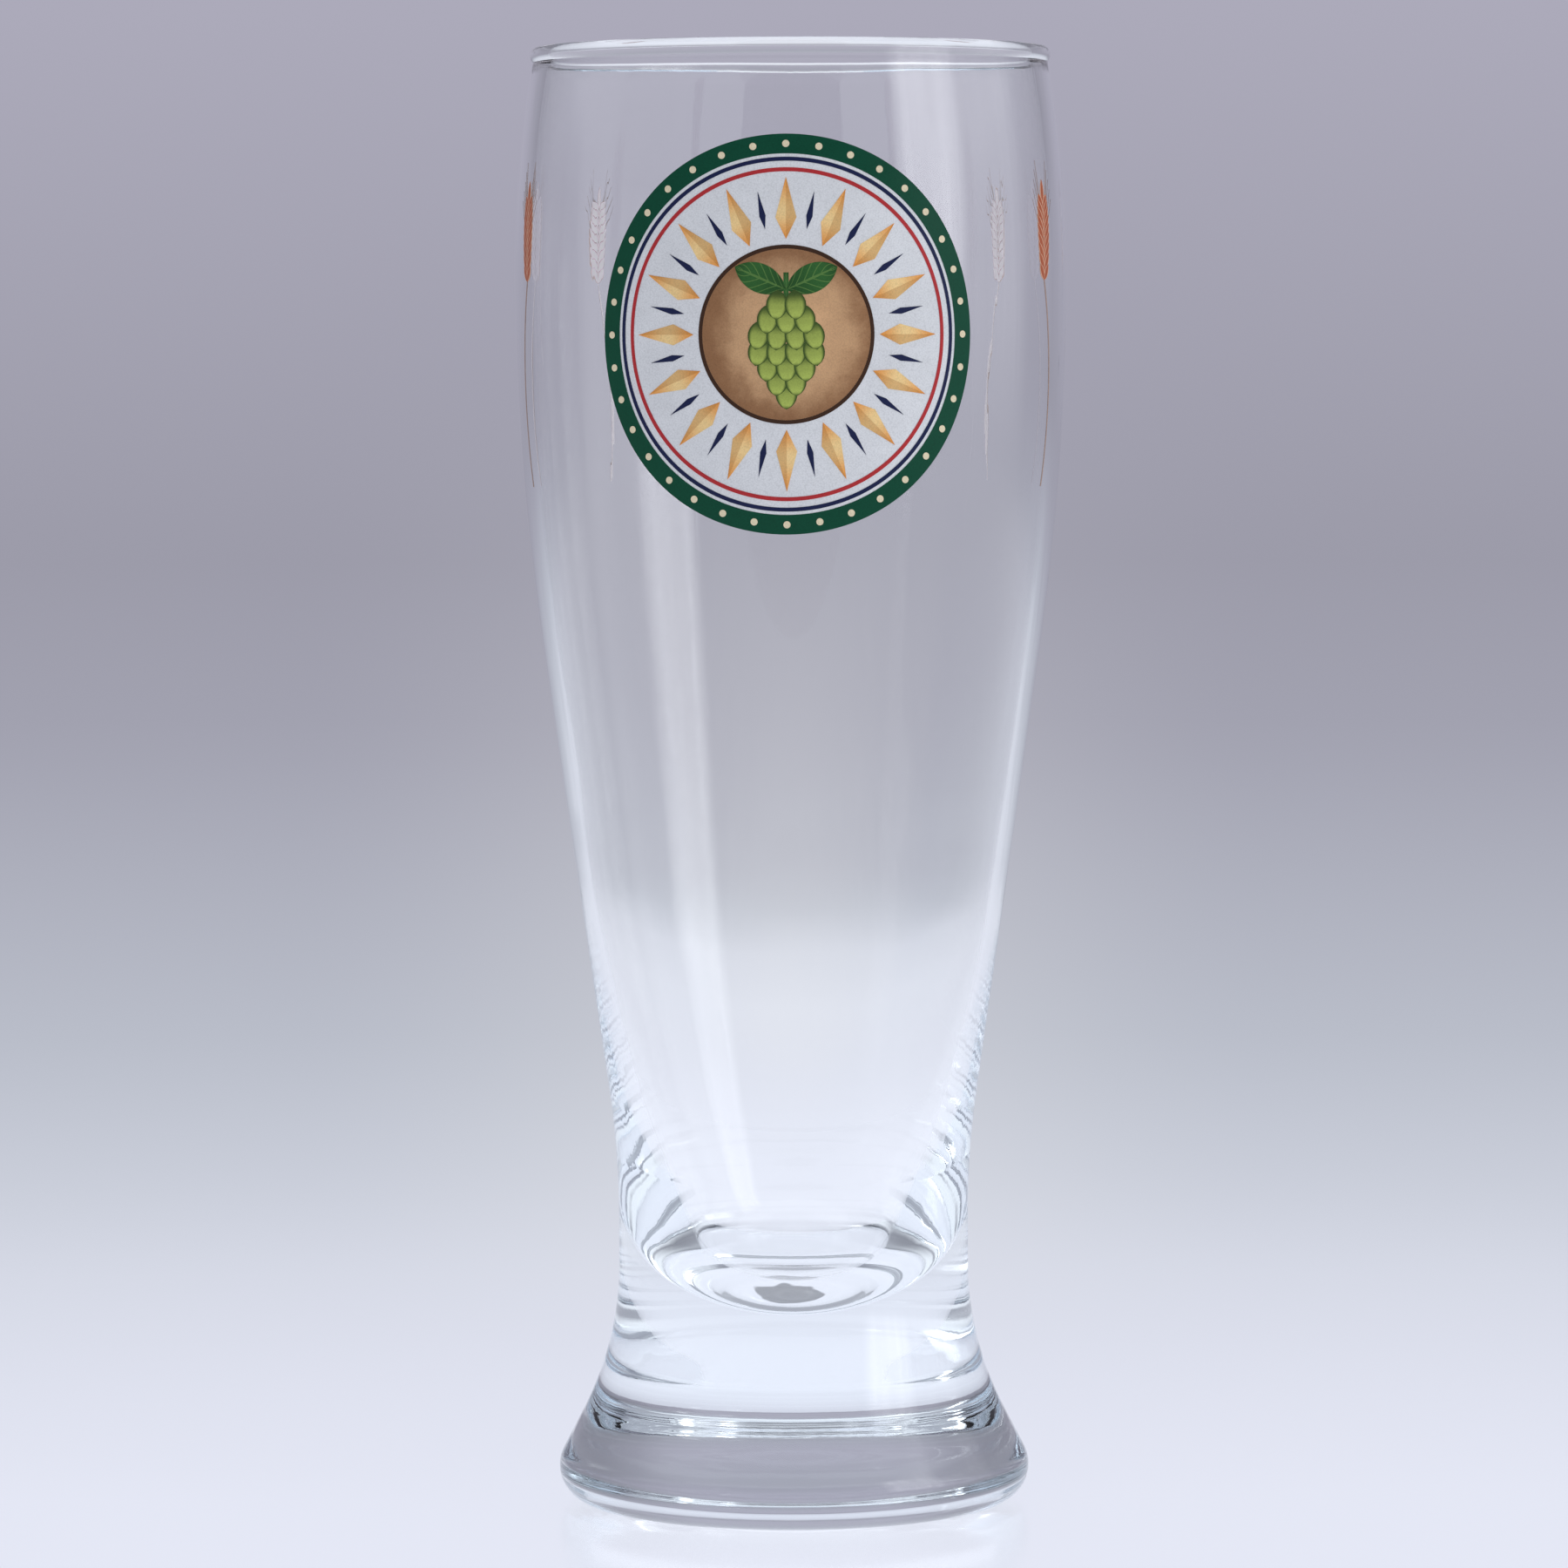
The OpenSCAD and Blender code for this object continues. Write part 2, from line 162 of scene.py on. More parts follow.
class PilsnerEarSizes(bpy.types.PropertyGroup):
    """Sizes of the four wheat ears"""

    stem_drop_h: length("Drop from the belly to the foot of a stem", 0.0332)
    stem_len: length("Length of a stem", 0.032)
    stem_w: length("Width of a stem", 0.00036)
    stem_bow_w: length("How far a stem bows sideways", 0.0019)
    stem_lean: angle("Lean of a stem about the root of its head", 2.9)
    head_len: length("Length of a head with its kernels", 0.0156)
    kernel_rows: count("Kernels on each side of a head", 9, 2)
    kernel_len: length("Length of a kernel", 0.0041)
    kernel_w: length("Width of a kernel", 0.00135)
    kernel_lean: angle("Lean of a kernel from the middle of the head", 31)
    kernel_root_share: share("Share of the head over which kernels have roots", 0.78)
    end_kernel_share: share("Size of the lowest and highest kernels", 0.72)
    awn_len: length("Length of a hair of the ear", 0.006)
    awn_w: length("Width of a hair at its root", 0.00016)
    awn_lean: angle("Lean of the top hairs", 9)
    awn_lean_step: angle("How much more the hairs of each row below lean", 4)
    awn_rows: count("Upper rows that bear hairs", 5, 1)
    front_turn: angle("Turn of the right front ear from the front", 67.8)
    back_turn: angle("Turn of the right back ear from the front", 128.4)
    set_turn: angle("Turn of the whole set of ears", -3)


class PilsnerColours(bpy.types.PropertyGroup):
    """Colours of the glass and of the fired inks"""

    glass_tint: colour("Tint of the glass at its surfaces", (0.998, 1.0, 1.0))
    glass_depth: colour("Tint of light that has passed through the glass", (0.7, 0.86, 0.95))
    white: colour("White ground of the badge", (0.8, 0.81, 0.82))
    green: colour("Green ring", (0.002, 0.07, 0.035))
    cream: colour("Dots on the green ring", (0.87, 0.76, 0.52))
    navy: colour("Navy lines", (0.012, 0.018, 0.07))
    red: colour("Red ring", (0.5, 0.035, 0.04))
    gold: colour("Root of a ray", (0.83, 0.33, 0.07))
    pale_gold: colour("Tip of a ray", (0.93, 0.66, 0.3))
    tan: colour("Tan disc", (0.6, 0.36, 0.19))
    dark_tan: colour("Edge of the tan disc", (0.3, 0.15, 0.07))
    brown: colour("Rim of the tan disc", (0.055, 0.025, 0.014))
    leaf: colour("Leaves of the hop", (0.02, 0.075, 0.018))
    leaf_vein: colour("Veins of a leaf", (0.12, 0.24, 0.06))
    hop: colour("Tips of the hop's scales", (0.34, 0.42, 0.09))
    hop_root: colour("Roots of the hop's scales", (0.05, 0.09, 0.02))
    kernel: colour("Edge of a kernel", (0.72, 0.43, 0.29))
    kernel_core: colour("Middle of a kernel", (0.42, 0.105, 0.045))
    stalk: colour("Stems of the ears", (0.4, 0.28, 0.23))
    hair: colour("Hairs of the ears", (0.44, 0.33, 0.29))
    inner_side: colour("Ink as seen from within the glass", (1.0, 0.92, 0.97))
    inner_edge: colour("Edge of a kernel as seen from within", (0.55, 0.43, 0.43))
    inner_stalk: colour("Stems as seen from within", (0.97, 0.91, 0.95))
    inner_hair: colour("Hairs as seen from within", (0.42, 0.35, 0.36))
    # Painted glow: the inner side of the ink gives off light in its own shade, standing in for light shining
    # through the thin ink from behind
    painted_inner_glow: share("Light that comes through the thin ink from behind", 0.19)


class PilsnerStage(bpy.types.PropertyGroup):
    """The studio round the glass"""

    camera_distance: length("Distance of the camera from the glass", 1.1352)
    camera_height: length("Height of the camera above the table", 0.18456)
    camera_pitch: angle("How far the camera looks down", 3.5676)
    camera_roll: angle("Roll of the camera", -0.17)
    camera_side: length("Sideways place of the camera", -0.0013, -1)
    camera_view: angle("Angle across the frame", 12.4556)
    table_r: length("Radius of the visible round of table", 0.5)
    table_fade_r: length("Radius at which the table starts to fade out", 0.05)
    table_glow: brightness("Light that comes up through the table", 0.97)
    softbox_glow: brightness("Brightness of the softbox", 2.3)
    side_glow: brightness("Brightness of the softbox beside the glass", 0.5)


def outward(rise):
    """Direction that points outwards and rises by an angle."""
    return Vector((math.cos(rise), math.sin(rise)))


def side_view():
    """Works out the side view of the glass, as points [distance from the axis, height], from its sizes."""
    size = bpy.context.scene.pilsner_glass
    view = SimpleNamespace(size=size, glass_h=GLASS_BOX[1].z, belly_r=GLASS_BOX[1].x)
    view.belly_z = view.glass_h - size.belly_drop_h
    view.waist_r = size.waist_d / 2
    view.edge_centre = Vector((size.foot_d / 2 - size.foot_edge_r, size.foot_edge_r))
    view.flank_out = outward(size.flank_lean)
    view.flank_foot = view.edge_centre + size.foot_edge_r * view.flank_out
    over = view.waist_r + size.waist_low_r - view.flank_foot.x
    waist_low_z = view.flank_foot.y + (size.waist_low_r - view.flank_out.x * over) / view.flank_out.y
    view.waist_low_centre = Vector((view.waist_r + size.waist_low_r, waist_low_z))
    view.waist_top_z = waist_low_z + size.waist_band_h

    flare = Vector((view.belly_r - view.waist_r, view.belly_z - view.waist_top_z))
    view.wall_lean = size.wall_lean_share * math.atan2(flare.x, flare.y)
    lean_cos, lean_sin = math.cos(view.wall_lean), math.sin(view.wall_lean)
    view.wall_out = outward(-view.wall_lean)
    both_curves_r = (flare.y * lean_sin - flare.x * lean_cos) / (1 - lean_cos)
    view.waist_high_r = size.lower_curve_share * both_curves_r
    view.belly_curve_r = both_curves_r - view.waist_high_r
    view.waist_high_centre = Vector((view.waist_r + view.waist_high_r, view.waist_top_z))
    view.belly_centre = Vector((view.belly_r - view.belly_curve_r, view.belly_z))
    view.shoulder_centre = Vector((view.belly_r - size.shoulder_curve_r, view.belly_z))
    view.wall_foot = view.waist_high_centre - view.waist_high_r * view.wall_out

    bead_r = size.rim_bead_d / 2
    reach = size.shoulder_curve_r - size.wall_t + bead_r - size.rim_bead_lip
    view.bead_rise = math.asin((view.glass_h - bead_r - view.belly_z) / reach)
    view.bead_centre = view.shoulder_centre + reach * outward(view.bead_rise)
    view.bead_reach = reach

    view.thicken = Vector((0, view.waist_top_z + size.thicken_share * flare.y))
    up = view.thicken.y - view.wall_foot.y
    view.thicken.x = view.wall_foot.x + up * math.tan(view.wall_lean) - size.wall_t / lean_cos
    view.floor_centre = Vector((0, size.base_t + size.floor_r))
    rise = view.thicken.y - view.floor_centre.y
    spread = view.thicken.x * lean_cos - rise * lean_sin
    view.inside_curve_r = (view.thicken.x**2 + rise**2 - size.floor_r**2) / (2 * (spread - size.floor_r))
    view.inside_centre = view.thicken - view.inside_curve_r * view.wall_out
    return view


def wall_radius(view, z):
    """Distance of the outside of the bowl from the axis at a height within its long curve or its shoulder."""
    if z < view.belly_z:
        centre, curve_r = view.belly_centre, view.belly_curve_r
    else:
        centre, curve_r = view.shoulder_centre, view.size.shoulder_curve_r
    return centre.x + math.sqrt(curve_r**2 - (z - view.belly_z) ** 2)


def straight_run(mesh, vertex, place, steps):
    """Draws the outline straight on to a place and returns the new end."""
    step = (Vector((place[0], 0, place[1])) - vertex.co) / steps
    for _ in range(steps):
        made = bmesh.ops.extrude_vert_indiv(mesh, verts=[vertex])["verts"]
        bmesh.ops.translate(mesh, verts=made, vec=step)
        vertex = made[0]
    return vertex


def arc_run(mesh, vertex, centre, turn, steps):
    """Draws the outline on round a centre, clockwise for a positive turn, and returns the new end."""
    middle = (centre[0], 0, centre[1])
    made = bmesh.ops.spin(mesh, geom=[vertex], cent=middle, axis=(0, 1, 0), angle=turn, steps=steps)
    return next(item for item in made["geom_last"] if isinstance(item, bmesh.types.BMVert))


def bearing(point, centre):
    """Direction from a centre to a point, as an angle from the outward level."""
    return math.atan2(point[1] - centre[1], point[0] - centre[0])


def bead_meeting(view, curve_r):
    """Rise at which a curve about the shoulder's centre meets the bead from below."""
    bead_r = view.size.rim_bead_d / 2
    spread = (curve_r**2 + view.bead_reach**2 - bead_r**2) / (2 * curve_r * view.bead_reach)
    return view.bead_rise - math.acos(spread)


def draw_glass_outline(mesh, view):
    """Draws half the side view, from under the foot up the outside, over the rim and down the inside."""
    size = view.size
    hollow_r = size.hollow_d / 2
    hollow_curve_r = (hollow_r**2 + size.hollow_h**2) / (2 * size.hollow_h)
    inner_curve_r = size.shoulder_curve_r - size.wall_t
    outer_rise = bead_meeting(view, size.shoulder_curve_r)
    inner_rise = bead_meeting(view, inner_curve_r)
    outer_top = view.shoulder_centre + size.shoulder_curve_r * outward(outer_rise)
    inner_top = view.shoulder_centre + inner_curve_r * outward(inner_rise)
    bead_turn = bearing(outer_top, view.bead_centre) - bearing(inner_top, view.bead_centre) % math.tau
    floor_rise = bearing(view.floor_centre, view.inside_centre)
    # Each run ends with the number of its steps
    runs = (
        (arc_run, (0, size.hollow_h - hollow_curve_r), math.asin(hollow_r / hollow_curve_r), 14),
        (straight_run, (view.edge_centre.x, 0), 3),
        (arc_run, view.edge_centre, -math.pi / 2 - size.flank_lean, 20),
        (straight_run, view.waist_low_centre - size.waist_low_r * view.flank_out, 5),
        (arc_run, view.waist_low_centre, size.flank_lean, 16),
        (straight_run, (view.waist_r, view.waist_top_z), 3),
        (arc_run, view.waist_high_centre, view.wall_lean, 12),
        (straight_run, view.belly_centre + view.belly_curve_r * view.wall_out, 18),
        (arc_run, view.belly_centre, -view.wall_lean, 20),
        (arc_run, view.shoulder_centre, -outer_rise, 14),
        (arc_run, view.bead_centre, bead_turn, 20),
        (arc_run, view.shoulder_centre, inner_rise, 14),
        (arc_run, view.belly_centre, view.wall_lean, 20),
        (straight_run, view.thicken, 12),
        (arc_run, view.inside_centre, -view.wall_lean - floor_rise, 22),
        (arc_run, view.floor_centre, floor_rise + math.pi / 2, 24),
    )
    end = mesh.verts.new((0, 0, size.hollow_h))
    for draw_run, *course in runs:
        end = draw_run(mesh, end, *course)


def make_inside_wavy(mesh, view):
    """Lets the inside wander a little from a true round, as the wall of a blown glass does."""
    fade_h = 0.02
    around, upward = 2.2, 7.0
    for vertex in mesh.verts:
        radius = math.hypot(vertex.co.x, vertex.co.y)
        if radius < view.floor_centre.y / 4 or vertex.co.z < view.size.base_t:
            continue
        inner = wall_radius(view, vertex.co.z) if vertex.co.z > view.thicken.y else view.thicken.x
        outside = radius > inner - view.size.wall_t / 2
        if outside or vertex.co.z > view.glass_h - view.size.rim_bead_d:
            continue
        fade = min(1, (vertex.co.z - view.size.base_t) / fade_h)
        place = Vector((around * vertex.co.x / radius, around * vertex.co.y / radius, upward * vertex.co.z))
        swell = 1 + fade * view.size.wave_t * noise.noise(place) / radius
        vertex.co.x *= swell
        vertex.co.y *= swell


def spin_round(mesh, axis, steps):
    """Spins a drawn line once round an axis through the origin and joins its ends."""
    line = mesh.verts[:] + mesh.edges[:]
    bmesh.ops.spin(mesh, geom=line, cent=(0, 0, 0), axis=axis, angle=math.tau, steps=steps, use_merge=True)
    bmesh.ops.remove_doubles(mesh, verts=mesh.verts, dist=SAME_PLACE)


def add_object(name, mesh, material):
    """Turns a finished mesh into an object of one material."""
    data = bpy.data.meshes.new(name)
    mesh.to_mesh(data)
    mesh.free()
    data.materials.append(material)
    made = bpy.data.objects.new(name, data)
    bpy.context.scene.collection.objects.link(made)
    return made


def add_piece(name, mesh, material, slot, *nodes):
    """Turns a finished mesh into a piece that stands for CAD nodes."""
    bmesh.ops.recalc_face_normals(mesh, faces=mesh.faces)
    piece = add_object(name, mesh, material)
    piece.data.shade_smooth()
    piece.data.set_sharp_from_angle(angle=CRISP_EDGE)
    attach(piece, BODY)
    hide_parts(*nodes)


# Thickness of one visible layer of ink, and how deep the fire has sunk it into what is under it
INK_T = 0.00005
INK_BITE = 0.00003
# How much higher each patch of a drawing lies than the one that it overlaps
OVERLAP_LIFT = 0.0000015
# How much deeper the underside of a patch lies for its lift, so that no two undersides share a place
SUNK_SHARE = 1 / 3


def add_patch(mesh, patch_len, half_width, rows, columns):
    """Adds a flat patch that rises from the origin; half_width gives its half width at each share of it."""
    made = bmesh.ops.create_grid(mesh, x_segments=columns, y_segments=rows, size=0.5, calc_uvs=True)["verts"]
    for vertex in made:
        across, along = 2 * vertex.co.x, vertex.co.y + 0.5
        vertex.co = Vector((across * half_width(along), 0, along * patch_len))
    bmesh.ops.remove_doubles(mesh, verts=made, dist=SAME_PLACE)
    return [vertex for vertex in made if vertex.is_valid]


def place_patch(mesh, patch, turn, place, lift=0):
    """Turns a patch about its root, counter-clockwise as seen from outside, and moves the root to a place."""
    bmesh.ops.rotate(mesh, verts=patch, cent=(0, 0, 0), matrix=Matrix.Rotation(-turn, 3, "Y"))
    bmesh.ops.translate(mesh, verts=patch, vec=(place[0], -lift * OVERLAP_LIFT, place[1]))


def oval_width(oval_len, oval_w):
    """Half width of a pointed oval whose sides are arcs, at each share of its length."""
    side_r = ((oval_len / 2) ** 2 + (oval_w / 2) ** 2) / oval_w
    return lambda along: math.sqrt(side_r**2 - ((along - 0.5) * oval_len) ** 2) - side_r + oval_w / 2


def kite_width(kite_w, belly_share):
    """Half width of a lozenge that is broadest at belly_share, at each share of its length."""
    return lambda along: kite_w / 2 * min(along / belly_share, (1 - along) / (1 - belly_share))


def new_flat_mesh():
    """A mesh for ink, with a pattern map along each patch and a mark for the side against the glass."""
    mesh = bmesh.new()
    mesh.loops.layers.uv.new("pattern")
    mesh.faces.layers.float.new("inner_side")
    return mesh


def lay_ink(mesh, view, layer, turn, height):
    """Gives a flat outline its thickness as one layer of ink and lays it on the wall."""
    under = mesh.faces[:]
    grown = bmesh.ops.extrude_face_region(mesh, geom=under, use_keep_orig=True)["geom"]
    top = {item for item in grown if isinstance(item, bmesh.types.BMVert)}
    inner_side = mesh.faces.layers.float["inner_side"]
    for face in under:
        face[inner_side] = 1
    for vertex in mesh.verts:
        if vertex in top:
            rise = layer * INK_T - vertex.co.y
        else:
            rise = (layer - 1) * INK_T - INK_BITE + SUNK_SHARE * vertex.co.y
        place = height + vertex.co.z
        radius = wall_radius(view, place) + rise
        sideways = view.belly_r * math.sin(vertex.co.x / view.belly_r)
        round_turn = math.asin(sideways / radius) + turn
        vertex.co = Vector((radius * math.sin(round_turn), -radius * math.cos(round_turn), place))


def ring_mesh(outer_r, inner_r, steps, cells):
    """A mesh for ink that starts with a ring, or a disc when inner_r is zero, round the origin."""
    mesh = new_flat_mesh()
    straight_run(mesh, mesh.verts.new((inner_r, 0, 0)), (outer_r, 0), cells)
    spin_round(mesh, axis=(0, -1, 0), steps=steps)
    return mesh


def badge_rings(badge):
    """Radii of the rings of the badge, from the outside in."""
    rings = SimpleNamespace(edge=badge.badge_d / 2)
    rings.green_inner = rings.edge - badge.green_ring_w
    rings.navy_outer = rings.green_inner - badge.ring_gap
    rings.navy_inner = rings.navy_outer - badge.thin_line_w
    rings.red_outer = rings.navy_inner - 2 * badge.ring_gap
    rings.red_inner = rings.red_outer - badge.thin_line_w
    rings.roundel = badge.roundel_d / 2
    rings.brown_outer = rings.roundel + badge.thin_line_w
    rings.ray_middle = (rings.brown_outer + rings.red_inner) / 2
    return rings


def feed(tree, inputs, values):
    """Feeds inputs, found by name or number, with outputs of other nodes, numbers, places or colours."""
    for key, value in values.items():
        if isinstance(value, bpy.types.NodeSocket):
            tree.links.new(value, inputs[key])
        elif inputs[key].type == "RGBA":
            inputs[key].default_value = (*value, 1)
        else:
            inputs[key].default_value = value


def node(tree, kind, values=None, **settings):
    """Adds a shader node, sets its settings, feeds its inputs and returns it."""
    made = tree.nodes.new(kind)
    for name, value in settings.items():
        setattr(made, name, value)
    feed(tree, made.inputs, values or {})
    return made


def blend_colours(tree, factor, first, second):
    """Mixes two colours and returns the result."""
    mix = node(tree, "ShaderNodeMix", data_type="RGBA")
    sockets = [item for item in mix.inputs if item.enabled]
    feed(tree, sockets, {0: factor, 1: first, 2: second})
    return next(item for item in mix.outputs if item.enabled)


def calculate(tree, operation, *values):
    """A step of arithmetic on outputs or numbers; returns the result."""
    return node(tree, "ShaderNodeMath", dict(enumerate(values)), operation=operation).outputs[0]


def ease(tree, value, start, stop, low=0, high=1, course="SMOOTHSTEP"):
    """Turns the run of a value from start to stop into a run from low to high, and returns it."""
    limits = {"Value": value, "From Min": start, "From Max": stop, "To Min": low, "To Max": high}
    return node(tree, "ShaderNodeMapRange", limits, interpolation_type=course).outputs["Result"]


def ramp(tree, factor, stops, interpolation="EASE"):
    """A colour ramp over a factor; each stop is a place from 0 to 1 and a colour."""
    made = node(tree, "ShaderNodeValToRGB", {"Fac": factor})
    made.color_ramp.interpolation = interpolation
    elements = made.color_ramp.elements
    while len(elements) < len(stops):
        elements.new(0.5)
    for element, (place, shade) in zip(elements, stops):
        element.position = place
        element.color = (*shade, 1)
    return made.outputs["Color"]


def object_place(tree):
    """The place of a point of a surface."""
    return node(tree, "ShaderNodeTexCoord").outputs["Object"]


def mapped_place(tree, scale=(1, 1, 1), shift=(0, 0, 0)):
    """The place of a point of a surface, scaled and then shifted."""
    mapping = {"Vector": object_place(tree), "Scale": scale, "Location": shift}
    return node(tree, "ShaderNodeMapping", mapping).outputs["Vector"]


def axes(tree, place):
    """The parts X, Y and Z of a place or a direction."""
    return node(tree, "ShaderNodeSeparateXYZ", {"Vector": place}).outputs


def distance(tree, place):
    """Distance of a place from the origin."""
    return node(tree, "ShaderNodeVectorMath", {0: place}, operation="LENGTH").outputs["Value"]


def clouds(tree, place, scale, detail, rough=0.5):
    """Soft noise over a place, from 0 to 1."""
    pattern = {"Vector": place, "Scale": scale, "Detail": detail, "Roughness": rough}
    return node(tree, "ShaderNodeTexNoise", pattern).outputs["Fac"]


def relief(tree, height, strength, depth):
    """The normal of a surface with a fine relief."""
    bump = {"Height": height, "Strength": strength, "Distance": depth}
    return node(tree, "ShaderNodeBump", bump).outputs["Normal"]


def times(shade, amount):
    """A colour made lighter or darker."""
    return tuple(min(1, amount * part) for part in shade)


def new_material(name):
    """A node material with its Principled shader; returns the material, its tree and the shader."""
    material = bpy.data.materials.new(name)
    material.use_nodes = True
    tree = material.node_tree
    return material, tree, tree.nodes["Principled BSDF"]


# Scales of the patterns in fired ink, from its fine grain to its slow drift of tone
GRAIN_SCALE = 4200
CLOUD_SCALE = 260
DRIFT_SCALE = 90
# How much the grain and the clouds darken the ink, the relief of the clouds, and how strongly ink mirrors
GRAIN_DARK = 0.22
CLOUD_DARK = 0.16
INK_RELIEF_T = 0.00002
INK_SHINE = 0.12


def fired_ink(name, draw, *colours):
    """Satin ink with a fine grain; draw gives its shade, and the shade and the painted glow of its inner
    side.
    """
    material, tree, shader = new_material(name)
    shade, inner, painted_inner_glow = draw(tree, *colours)
    place = object_place(tree)
    grain = node(tree, "ShaderNodeTexVoronoi", {"Vector": place, "Scale": GRAIN_SCALE}, feature="F1")
    cloud = clouds(tree, place, CLOUD_SCALE, detail=4, rough=0.6)
    speck = calculate(tree, "MULTIPLY_ADD", grain.outputs["Distance"], -GRAIN_DARK, 1.06)
    patchy = calculate(tree, "MULTIPLY_ADD", cloud, CLOUD_DARK, 1 - CLOUD_DARK / 2)
    tone = calculate(tree, "MULTIPLY", speck, patchy)
    shade = node(tree, "ShaderNodeHueSaturation", {"Color": shade, "Value": tone}).outputs["Color"]
    if inner is not None:
        mark = node(tree, "ShaderNodeAttribute", attribute_name="inner_side", attribute_type="GEOMETRY")
        side = mark.outputs["Fac"]
        shade = blend_colours(tree, side, shade, inner)
        # Painted glow: the inner side gives off light in its own shade, though it is no lamp
        glow = calculate(tree, "MULTIPLY", side, painted_inner_glow)
        feed(tree, shader.inputs, {"Emission Color": shade, "Emission Strength": glow})
    surface = {
        "Base Color": shade,
        "Roughness": calculate(tree, "MULTIPLY_ADD", cloud, 0.2, 0.3),
        "Normal": relief(tree, cloud, strength=0.25, depth=INK_RELIEF_T),
        "Specular IOR Level": INK_SHINE,
    }
    feed(tree, shader.inputs, surface)
    return material


def plain_shade(tree, shade, inner=None):
    """One colour that darkens a little in clouds."""
    drift = calculate(tree, "MULTIPLY", clouds(tree, object_place(tree), DRIFT_SCALE, detail=2), 0.7)
    return blend_colours(tree, drift, shade, times(shade, 0.8)), inner, 0


def pattern_axes(tree):
    """Places across a patch, along it and off its middle line, each from 0 to 1."""
    split = axes(tree, node(tree, "ShaderNodeUVMap", uv_map="pattern").outputs["UV"])
    off_middle = calculate(tree, "ABSOLUTE", calculate(tree, "MULTIPLY_ADD", split["X"], 2, -1))
    return split["X"], split["Y"], off_middle


def ray_shade(tree, root, tip):
    """Runs from a deep root to a pale tip, with one flank of each ray lighter than the other."""
    across, along, _ = pattern_axes(tree)
    run = ramp(tree, along, [(0, root), (0.45, tip), (1, root)])
    flank = calculate(tree, "MULTIPLY", calculate(tree, "GREATER_THAN", across, 0.5), 0.4)
    return blend_colours(tree, flank, run, times(root, 0.55)), None, 0


def kernel_shade(tree, colours):
    """A dark core with peach edges in front, and a pale core with grey edges behind."""
    off_middle = pattern_axes(tree)[2]
    shade = ramp(tree, off_middle, [(0.5, colours.kernel_core), (0.95, colours.kernel)])
    inner = ramp(tree, off_middle, [(0.6, colours.inner_side), (0.95, colours.inner_edge)])
    return shade, inner, colours.painted_inner_glow


def stalk_shade(tree, colours, head_z):
    """Brown in front; behind, pale stems below the heads and grey hairs above."""
    hair = calculate(tree, "GREATER_THAN", axes(tree, object_place(tree))["Z"], head_z)
    front = blend_colours(tree, hair, colours.stalk, colours.hair)
    inner = blend_colours(tree, hair, colours.inner_stalk, colours.inner_hair)
    return front, inner, colours.painted_inner_glow


def scale_shade(tree, tip, root):
    """A hop scale: dark where it grows out, light on its crown, with a dark line round it."""
    _, along, off_middle = pattern_axes(tree)
    crown = ramp(tree, along, [(0.1, root), (0.55, tip), (0.85, times(tip, 1.25)), (1, root)])
    rim = ramp(tree, off_middle, [(0.6, (0, 0, 0)), (0.95, (1, 1, 1))])
    return blend_colours(tree, rim, crown, root), None, 0


def leaf_shade(tree, shade, vein):
    """A leaf with a midrib and slanting side veins."""
    _, along, off_middle = pattern_axes(tree)
    vein_count, vein_slant, midrib_share, vein_depth = 6, 0.28, 0.08, 0.75
    slant = calculate(tree, "MULTIPLY_ADD", off_middle, -vein_slant, along)
    wave = calculate(tree, "COSINE", calculate(tree, "MULTIPLY", slant, math.tau * vein_count))
    side_veins = calculate(tree, "GREATER_THAN", wave, 0.9)
    midrib = calculate(tree, "LESS_THAN", off_middle, midrib_share)
    veins = calculate(tree, "MULTIPLY", calculate(tree, "MAXIMUM", side_veins, midrib), vein_depth)
    body = ramp(tree, along, [(0, shade), (0.7, times(shade, 1.7)), (1, shade)])
    return blend_colours(tree, veins, body, vein), None, 0


def parchment_shade(tree, colours):
    """The tan disc: light in the middle, darker to the edge, mottled like old paper."""
    badge, view = bpy.context.scene.pilsner_badge, side_view()
    radius = badge.roundel_d / 2
    centre = Vector((0, -view.belly_r, view.belly_z - badge.badge_drop_h))
    place = mapped_place(tree, (1 / radius,) * 3, tuple(-centre / radius))
    mottle = calculate(tree, "MULTIPLY_ADD", clouds(tree, place, scale=3.2, detail=6, rough=0.65), 0.5, -0.25)
    fall = calculate(tree, "ADD", distance(tree, place), mottle)
    shade = ramp(tree, fall, [(0.1, times(colours.tan, 1.35)), (0.6, colours.tan), (1, colours.dark_tan)])
    return shade, colours.inner_side, 0


# How dense the glass is to light, how it bends it, and the scale and depth of its upright ripples
GLASS_DENSITY = 3
GLASS_IOR = 1.5
RIPPLE_SCALE = (110, 110, 9)
RIPPLE_T = 0.00004


def clear_glass(colours):
    """Clear soda-lime glass with a faint blue-green depth and the ripples of a blown wall."""
    material, tree, shader = new_material("Clear glass")
    ripple = clouds(tree, mapped_place(tree, RIPPLE_SCALE), scale=1, detail=4)
    surface = {
        "Base Color": colours.glass_tint,
        "Transmission Weight": 1,
        "Roughness": 0,
        "IOR": GLASS_IOR,
        "Normal": relief(tree, ripple, strength=1, depth=RIPPLE_T),
    }
    feed(tree, shader.inputs, surface)
    depth = node(tree, "ShaderNodeVolumeAbsorption", {"Color": colours.glass_depth, "Density": GLASS_DENSITY})
    feed(tree, tree.nodes["Material Output"].inputs, {"Volume": depth.outputs[0]})
    return material


class PILSNER_OT_glass_body(bpy.types.Operator):
    """Spins the glass from its side view"""

    bl_idname = "pilsner.glass_body"
    bl_label = "Glass body"

    def execute(self, context):
        view = side_view()
        mesh = bmesh.new()
        draw_glass_outline(mesh, view)
        spin_round(mesh, axis=(0, 0, 1), steps=256)
        make_inside_wavy(mesh, view)
        add_piece("blown_glass", mesh, clear_glass(context.scene.pilsner_colours), "glass", "glass_body")
        return {"FINISHED"}


